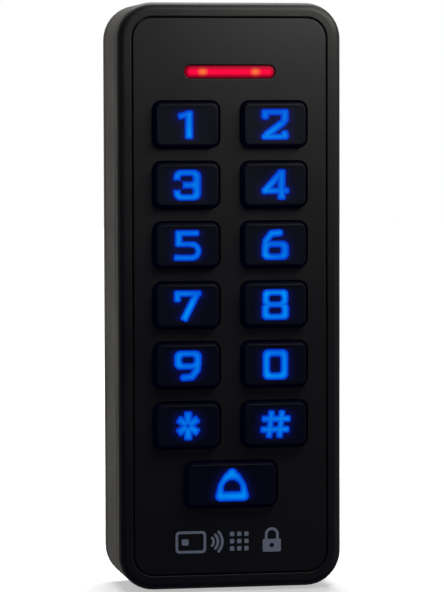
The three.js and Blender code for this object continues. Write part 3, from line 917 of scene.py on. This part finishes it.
def rear_housing():
    """Tub with a seal groove in its edge, a boss round the gland and a tamper sensor's hole."""
    shape = Shape()
    near, far = SEAL_GROOVE
    inner, back = shape.loft(case_outline, rounded(
        [(TUB_WALL, tub.front, 0), (far, tub.front, 0.1), (far, SEAL_FLOOR, 0.1),
         (near, SEAL_FLOOR, 0.1), (near, tub.front, 0.1), (0, tub.front, 0.25),
         (0, tub.back, 0.25), (1.2, tub.back, 0)]))
    seat, bore, boss, shelf, end, sight = 6.0, 4.3, 8.0, 5.3, 7.3, 1.8
    gland_mouth, gland_foot = shape.loft(circle(seat, gland.x, gland.y), rounded(
        [(-0.4, tub.back, 0), (0, tub.back, 0.2), (0, shelf, 0.1), (seat - bore, shelf, 0.1),
         (seat - bore, end, 0.15), (seat - boss, end, 0.2), (seat - boss, TUB_FLOOR, 0.3),
         (seat - boss - 0.5, TUB_FLOOR, 0)], 3))
    sight_mouth, sight_foot = shape.loft(
        circle(sight, tamper.x, tamper.y, 24),
        straight(tub.back, TUB_FLOOR, (0.2, 0.1), (-0.3, -0.3)))
    shape.fill(back, [gland_mouth, sight_mouth])
    floor = walled_in(shape, case_outline, inner, TUB_WALL, tub.front, TUB_FLOOR, 0.4, 0.9)
    shape.fill(floor, [gland_foot, sight_foot])
    piece = shape.piece("rear_housing_tub", finishes["case_plastic"])
    combine(piece, hoods_and_posts(), "UNION")
    combine(piece, back_slots(), "DIFFERENCE")
    combine(piece, lock_bore(), "DIFFERENCE")
    return piece


def hoods_and_posts():
    """What stands on the tub floor: screw bosses, hoods over the pockets and board posts."""
    shape = Shape()
    foot = TUB_FLOOR - 0.5
    boss, boss_top = 3.8, 8.7
    for screw in screws:
        stud(shape, circle(boss, screw.x, screw.y), foot, boss_top, 0.2)
    hoods = [(x, HOOK_WIDTH, HOOK_POCKET, HOOK_FRONT) for x in HOOK_PLACES]
    hoods.append((0, TAB_WIDTH, LOCK_POCKET, TAB_FRONT))
    for x, width, (low, high), front in hoods:
        outline = oblong(width + 2 * HOOD_SIDE, high - low + 2 * HOOD_END, 0.8,
                         x, (low + high) / 2, 4)
        stud(shape, outline, foot, front + HOOD_SIDE, 0.3)
    post, peg = 2.4, 1.0
    rest, peg_top = BOARD_BACK - GAP, BOARD_BACK + 1.4
    for x in (-POST_X, POST_X):
        for y in (-POST_Y, POST_Y):
            solid(shape, circle(post, x, y, 32), rounded(
                [(0, foot, 0), (0, rest, 0.2), (post - peg, rest, 0.1),
                 (post - peg, peg_top, 0.25), (2.0, peg_top, 0)], 3))
    return shape


def back_slots():
    """What is open at the back: screw holes, hook pockets and a pocket for the tab."""
    shape = Shape()
    head, bore, seat, end = 3.0, 1.7, 5.6, 9.7
    for screw in screws:
        counterbore(shape, screw.x, screw.y, tub.back, head, bore, seat, end)
    outside = tub.back - 1
    low, high = HOOK_POCKET
    mouth_high = HOOK_STEM[1] + GAP
    for x in HOOK_PLACES:
        mouth = oblong(HOOK_WIDTH + 2 * GAP, mouth_high - low, 0.3, x, (low + mouth_high) / 2, 4)
        room = oblong(HOOK_WIDTH + 0.7, high - low + 0.1, 0.35, x, (low + high) / 2, 4)
        first, mouth_end = shape.loft(mouth, [(0, outside), (0, TUB_FLOOR)])
        room_start, last = shape.loft(room, [(0, TUB_FLOOR), (0, HOOK_FRONT + GAP)])
        shape.wall(mouth_end, room_start)
        shape.fill(first)
        shape.fill(last)
    low, high = LOCK_POCKET
    pocket = oblong(TAB_WIDTH + 2 * GAP, high - low, 0.3, 0, (low + high) / 2, 4)
    solid(shape, pocket, [(0, outside), (0, TAB_FRONT + GAP)])
    return shape


def lock_bore():
    """The hole for the locking screw in the bottom wall, wider where its head sits."""
    shape = Shape()
    head, bore, seat, end = 3.0, 1.6, tub.bottom + 1.8, tub.bottom + 4.2
    counterbore(shape, 0, 0, tub.bottom, head, bore, seat, end)
    aimed_up(shape, 0, LOCK_OUT)
    return shape


def cable_gland():
    """Rubber grommet with a groove that grips the edge of its hole."""
    shape = Shape()
    edge = gland.width / 2
    bore, neck = edge - 3.25, edge - 4.0
    middle = (gland.back + gland.front) / 2
    groove_back, groove_front = 5.0, 7.6
    closed_ring(shape, circle(edge, gland.x, gland.y, 56), [
        (bore, middle, 0), (bore, gland.back, 0.35), (0, gland.back, 0.45),
        (0, groove_back, 0.2), (neck, groove_back, 0.15), (neck, groove_front, 0.15),
        (0, groove_front, 0.2), (0.5, gland.front, 0.35), (bore, gland.front, 0.35),
        (bore, middle, 0)])
    return shape.piece("cable_gland_grommet", finishes["black_rubber"])


# ---- Wall plate ----

def wall_plate():
    """Plate with a moulded back: a land round its edge and shallow pockets between ribs."""
    shape = Shape()
    outline = oblong(plate.width, plate.height, CASE_CORNER)
    rim = 2.0
    lip = PLATE_FRONT + SEAM_LIP
    inner, back = shape.loft(outline, rounded(
        [(rim, lip, 0), (SEAM_DEPTH, lip, 0.05), (SEAM_DEPTH, PLATE_FRONT, 0.05),
         (0, PLATE_FRONT, 0.25), (0, plate.back, 0.45), (1.0, plate.back, 0)]))
    long, wide, cable_opening = 9.0, 4.5, (22, 14, 1.5)
    openings = ((pill(long, wide, 0, BOX_SCREW_Y, 8), 3.0),
                (pill(wide, long, 0, -BOX_SCREW_Y, 8), 3.0),
                (oblong(*cable_opening, gland.x, gland.y, 8), 1.5))
    mouths, insides = [], []
    pad_front, pocket_floor = 2.4, 0.45
    for opening, pad in openings:
        mouth, inside = shape.loft(opening, rounded(
            [(-0.6, plate.back, 0), (0, plate.back, 0.3), (0, pad_front, 0.25),
             (-pad, pad_front, 0.2), (-pad, PLATE_BASE, 0.2), (-pad - 0.4, PLATE_BASE, 0)], 4))
        mouths.append(mouth)
        insides.append(inside)
    pocket_mouths, ends = holes(shape, back_pockets(), rounded(
        [(-0.3, plate.back, 0), (0, plate.back, 0.12), (0.12, pocket_floor, 0.15),
         (0.7, pocket_floor, 0)], 3))
    for end in ends:
        shape.fill(end)
    shape.fill(back, mouths + pocket_mouths)
    floor = walled_in(shape, outline, inner, rim, lip, PLATE_BASE, 0.3, 0.8)
    shape.fill(floor, insides)
    piece = shape.piece("wall_plate_moulding", finishes["case_plastic"])
    combine(piece, hooks_and_tab(), "UNION")
    combine(piece, ribs(), "UNION")
    bore, radius = Shape(), 1.6
    solid(bore, circle(radius, steps=32), [(0, TAB_Y[0] - 1), (0, TAB_Y[1] + 1)])
    aimed_up(bore, 0, LOCK_OUT)
    combine(piece, bore, "DIFFERENCE")
    return piece


def hooks_and_tab():
    """Two hooks that carry the reader and the tab that takes the locking screw."""
    shape = Shape()
    root, blunt = 1.0, 0.4
    low, high = HOOK_STEM
    tip = high + 2.5
    lip = HOOK_FRONT - 1.5
    hook = [(low, root), (high, root), (high, lip), (tip, lip), (tip, HOOK_FRONT - blunt),
            (tip - blunt, HOOK_FRONT), (low + blunt, HOOK_FRONT), (low, HOOK_FRONT - blunt)]
    for x in HOOK_PLACES:
        solid(shape, lambda inset: hook, [(0, x - HOOK_WIDTH / 2), (0, x + HOOK_WIDTH / 2)])
    low, high = TAB_Y
    tab = [(low, root), (high, root), (high, TAB_FRONT - blunt), (high - blunt, TAB_FRONT),
           (low + blunt, TAB_FRONT), (low, TAB_FRONT - blunt)]
    solid(shape, lambda inset: tab, [(0, -TAB_WIDTH / 2), (0, TAB_WIDTH / 2)])
    aimed_across(shape)
    return shape


def ribs():
    """Two long ribs that stiffen the plate."""
    shape = Shape()
    column, width, length, foot, top = 17.5, 1.4, 96, 1.0, 2.4
    for x in (-column, column):
        stud(shape, oblong(width, length, 0.5, x, 0, 4), foot, top, 0.3, 0.4)
    return shape


def back_pockets():
    """Shallow pockets in the back, in two columns, clear of the slots and the middle."""
    column, width = 17.2, 9.5
    spans = ((-58, -30), (-27, -6), (6, 27), (30, 58))
    return [oblong(width, high - low, 1.2, x, (low + high) / 2, 5)
            for x in (-column, column) for low, high in spans]


# ---- Keypad sheet, seal and locking screw ----

def keypad_sheet():
    """Silicone sheet with a lipped hole for each key's pill and a window for each lamp."""
    shape = Shape()
    lip, pill_hole, window = mat.front + 0.25, 3.4, (3.6, 2.8)
    back, front = shape.loft(oblong(mat.width, mat.height, 2, mat.x, mat.y),
                             straight(mat.back, mat.front, (0.2, 0.3), (1.0, 1.0), 4))
    rounds = [circle(pill_hole, key.x, key.y, 40) for key in keys.values()]
    backs, fronts = holes(shape, rounds, rounded(
        [(-0.3, mat.back, 0), (0, mat.back, 0.1), (0, lip, 0.1), (-0.5, lip, 0.12),
         (-0.8, mat.front, 0.15), (-1.2, mat.front, 0)], 3))
    windows = [oblong(*window, 0.4, lamp.x, lamp.y, 4) for lamp in backlights]
    window_backs, window_fronts = holes(
        shape, windows, straight(mat.back, mat.front, (0.08, 0.08), (-0.2, -0.2), 2))
    shape.fill(back, backs + window_backs)
    shape.fill(front, fronts + window_fronts)
    return shape.piece("keypad_sheet", finishes["silicone"])


def case_seal():
    """Seal ring with rounded corners, lying in the groove of the rear housing."""
    shape = Shape()
    middle, half = (gasket.back + gasket.front) / 2, 0.45
    outer, inner = TUB_WALL / 2 - half, TUB_WALL / 2 + half
    closed_ring(shape, case_outline, [
        (inner, middle, 0), (inner, gasket.back, 0.3), (outer, gasket.back, 0.3),
        (outer, gasket.front, 0.3), (inner, gasket.front, 0.3), (inner, middle, 0)])
    return shape.piece("case_gasket_ring", finishes["black_rubber"])


def locking_screw():
    """Button-head screw with a six-sided socket, pointing up from the foot of the case."""
    shape = Shape()
    half_side = pi / 6
    flat = 1.0

    def socket(inset):
        points = []
        for step in range(36):
            turn = 2 * pi * step / 36
            off = turn % (2 * half_side) - half_side
            reach = (flat - inset) / cos(off)
            points.append((reach * cos(turn), reach * sin(turn)))
        return points

    low, top = locking.bottom, locking.top
    floor, mouth = shape.loft(socket, [
        (0.06, low + 0.8), (0, low + 0.76), (0, low + 0.12), (-0.08, low)])
    head = locking.width / 2
    crest = head - 1.3
    root = crest + 0.16
    thread = []
    turns, pitch = 9, 0.5
    for turn in range(turns):
        start = low + 1.6 + pitch * turn
        thread += [(root, start), (crest, start + 0.17),
                   (crest, start + 0.25), (root, start + 0.42)]
    tip = [(crest + 0.2, top - 0.8), (head - 0.3, top)]
    face, end = shape.loft(circle(head, steps=36), rounded(
        [(head - 1.35, low, 0), (0.85, low, 0.4), (0, low + 0.7, 0.3), (0, low + 1.2, 0.12),
         (root, low + 1.2, 0.1), (root, low + 1.5, 0)], 4)
        + [Vector(point) for point in thread + tip])
    shape.wall(mouth, face)
    shape.fill(floor)
    shape.fill(end)
    aimed_up(shape, locking.x, LOCK_OUT)
    return shape.piece("security_screw_button", finishes["steel"])


# ---- Printed pictograms under the bell key ----

def pictograms():
    """A card with waves, a keypad and a padlock, in pale print."""
    line = 0.6
    card = cut(slab(-3.5, 3.5, -2.5, 2.5, 0.9),
               slab(line - 3.5, 3.5 - line, line - 2.5, 2.5 - line, 0.45))
    chip = slab(-2.1, -0.5, -0.7, 0.7, 0.3)
    waves = [arc_pen(0, 0, radius, line / 2, 42) for radius in (1.3, 2.3, 3.3)]
    squares = [slab(x - 0.5, x + 0.5, y - 0.5, y + 0.5, 0.2)
               for x in (-1.65, 0, 1.65) for y in (-1.65, 0, 1.65)]
    shackle = cut(slab(-1.6, 1.6, -1.0, 2.9, 1.5),
                  slab(line - 1.6, 1.6 - line, -1.1, 2.9 - line, 0.95))
    padlock = cut(union(slab(-2.1, 2.1, -2.6, 0.3, 0.35), shackle), dot(0, -1.1, 0.5))
    return union(shifted(union(card, chip), -9.2), *[shifted(wave, -5.3) for wave in waves],
                 shifted(union(*squares), 1.9), shifted(padlock, 9.4))


def face_print():
    """The pictograms as a thin print on the panel, near its foot."""
    width, height, raised, thickness, middle_y = 26.0, 6.4, 0.02, 0.06, -55.3
    shape = inked(pictograms(), width, height, lambda x, y: panel.front + raised, thickness, 0.3)
    bmesh.ops.translate(shape.mesh, verts=shape.mesh.verts, vec=(0, middle_y, 0))
    return shape.piece("face_print", finishes["pale_print"])


# ---- Putting the pieces on the frame ----

drawn = set()
for piece, node, slot in (
        (front_cover(), "front_cover", "case_plastic"),
        (face_panel(), "face_panel", "panel_plastic"),
        (light_bar(), "light_bar", "red_light"),
        (rear_housing(), "rear_housing", "case_plastic"),
        (cable_gland(), "cable_gland", "black_rubber"),
        (wall_plate(), "wall_plate", "case_plastic"),
        (keypad_sheet(), "keypad_mat", "silicone"),
        (case_seal(), "case_gasket", "black_rubber"),
        (locking_screw(), "security_screw", "steel")):
    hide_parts(node)
    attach(piece, "housing")
    drawn.add(node)
printed = face_print()
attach(printed, "housing")
for sign in SIGNS:
    key_cap(sign)
    drawn.add("key_" + sign)
bodies = frame["record"]["behaviour"]["bodies"]
holder = {node: body for body, nodes in bodies.items() for node in nodes}
for row in frame["record"]["subparts"]:
    if row["node"] not in drawn:
        eased_copy(row["node"], holder[row["node"]], row["material_slot"])


# ---- Studio ----

def studio_world():
    """White to the camera. To the object, a pale wall behind it and a dim room in front."""
    world = bpy.data.worlds.new("studio")
    world.use_nodes = True
    air = Nodes(world.node_tree)
    way = air.node("TexCoord").outputs["Generated"]
    parts = air.node("SeparateXYZ", None, way).outputs
    behind = air.math("MULTIPLY", air.between(parts["Y"], 0.0, 1.0, (-0.15, 0.6), "SMOOTHSTEP"),
                      air.between(parts["Z"], 0.3, 1.0, (-0.7, -0.05), "SMOOTHSTEP"))
    room = air.tree.nodes["Background"]
    air.feed(room.inputs["Color"], air.tint(behind, (0.03, 0.032, 0.06), (0.465, 0.451, 0.419)))
    white = air.node("Background", Color=(1, 1, 1, 1))
    seen = air.node("LightPath").outputs["Is Camera Ray"]
    mix = air.node("MixShader", None, seen, room.outputs[0], white.outputs[0])
    air.feed(air.tree.nodes["World Output"].inputs["Surface"], mix.outputs[0])
    scene.world = world


def soft_light(name, place, aim, size, watts, color=(1, 1, 1)):
    light = bpy.data.lights.new(name, "AREA")
    light.shape = "RECTANGLE"
    light.size, light.size_y = size
    light.energy = watts
    light.color = color
    lamp = in_scene(name, light)
    lamp.location = place
    lamp.rotation_euler = (Vector(aim) - Vector(place)).to_track_quat("-Z", "Y").to_euler()
    lamp.visible_camera = False


def pale_floor():
    """A white floor that glows, so that it melts into the white behind it. Its glow is weaker near
    the object, a painted shade in which the lamps' soft shadow shows.
    """
    shape = Shape()
    half, glow_reach, below = 2500, 260, 0.0006
    shape.fill(shape.ring([(-half, -half), (half, -half), (half, half), (-half, half)], 0))
    surface = Surface("pale_floor")
    beside = surface.near((0, 0, 0), glow_reach)
    cloud = surface.noise(60, detail=3)
    # Painted shade: the floor's glow drops from full strength far off to 0.45 near the object.
    surface.set(Base_Color=surface.tint(cloud, (0.86, 0.86, 0.86), (0.9, 0.9, 0.9)),
                Emission_Color=(1, 1, 1, 1), Emission_Strength=surface.between(beside, 1.0, 0.45),
                Roughness=0.9)
    floor = shape.piece("floor", surface.material)
    floor.rotation_euler = (radians(90), 0, 0)
    floor.location = (0, 0, plate.bottom * MM - below)
    floor.visible_diffuse = False
    floor.visible_glossy = False


def camera():
    """A view from a little to the left of the face and a little above its middle."""
    yaw, rise, roll, distance = radians(10.5), radians(3.1), radians(0.15), 0.715
    data = bpy.data.cameras.new("camera")
    data.lens = 190.4
    data.clip_start = 0.05
    eye = in_scene("camera", data)
    target = Vector((0.0001, -cover.front * MM / 2, -0.0004))
    away = Vector((-sin(yaw) * cos(rise), -cos(yaw) * cos(rise), sin(rise)))
    eye.location = target + away * distance
    facing = (-away).to_track_quat("-Z", "Y") @ Quaternion((0, 0, 1), -roll)
    eye.rotation_euler = facing.to_euler()
    scene.camera = eye


scene.view_settings.view_transform = "Standard"
studio_world()
pale_floor()
soft_light("key", (0.045, -0.072, 0.092), (0.004, -0.022, 0.035), (0.1, 0.03), 0.055,
           (1, 0.99, 0.94))
soft_light("fill", (0.36, -0.34, -0.06), (0, 0, -0.02), (0.3, 0.4), 0.14)
soft_light("above", (0.02, 0.22, 0.5), (0, 0, 0), (0.42, 0.3), 2.9)
camera()
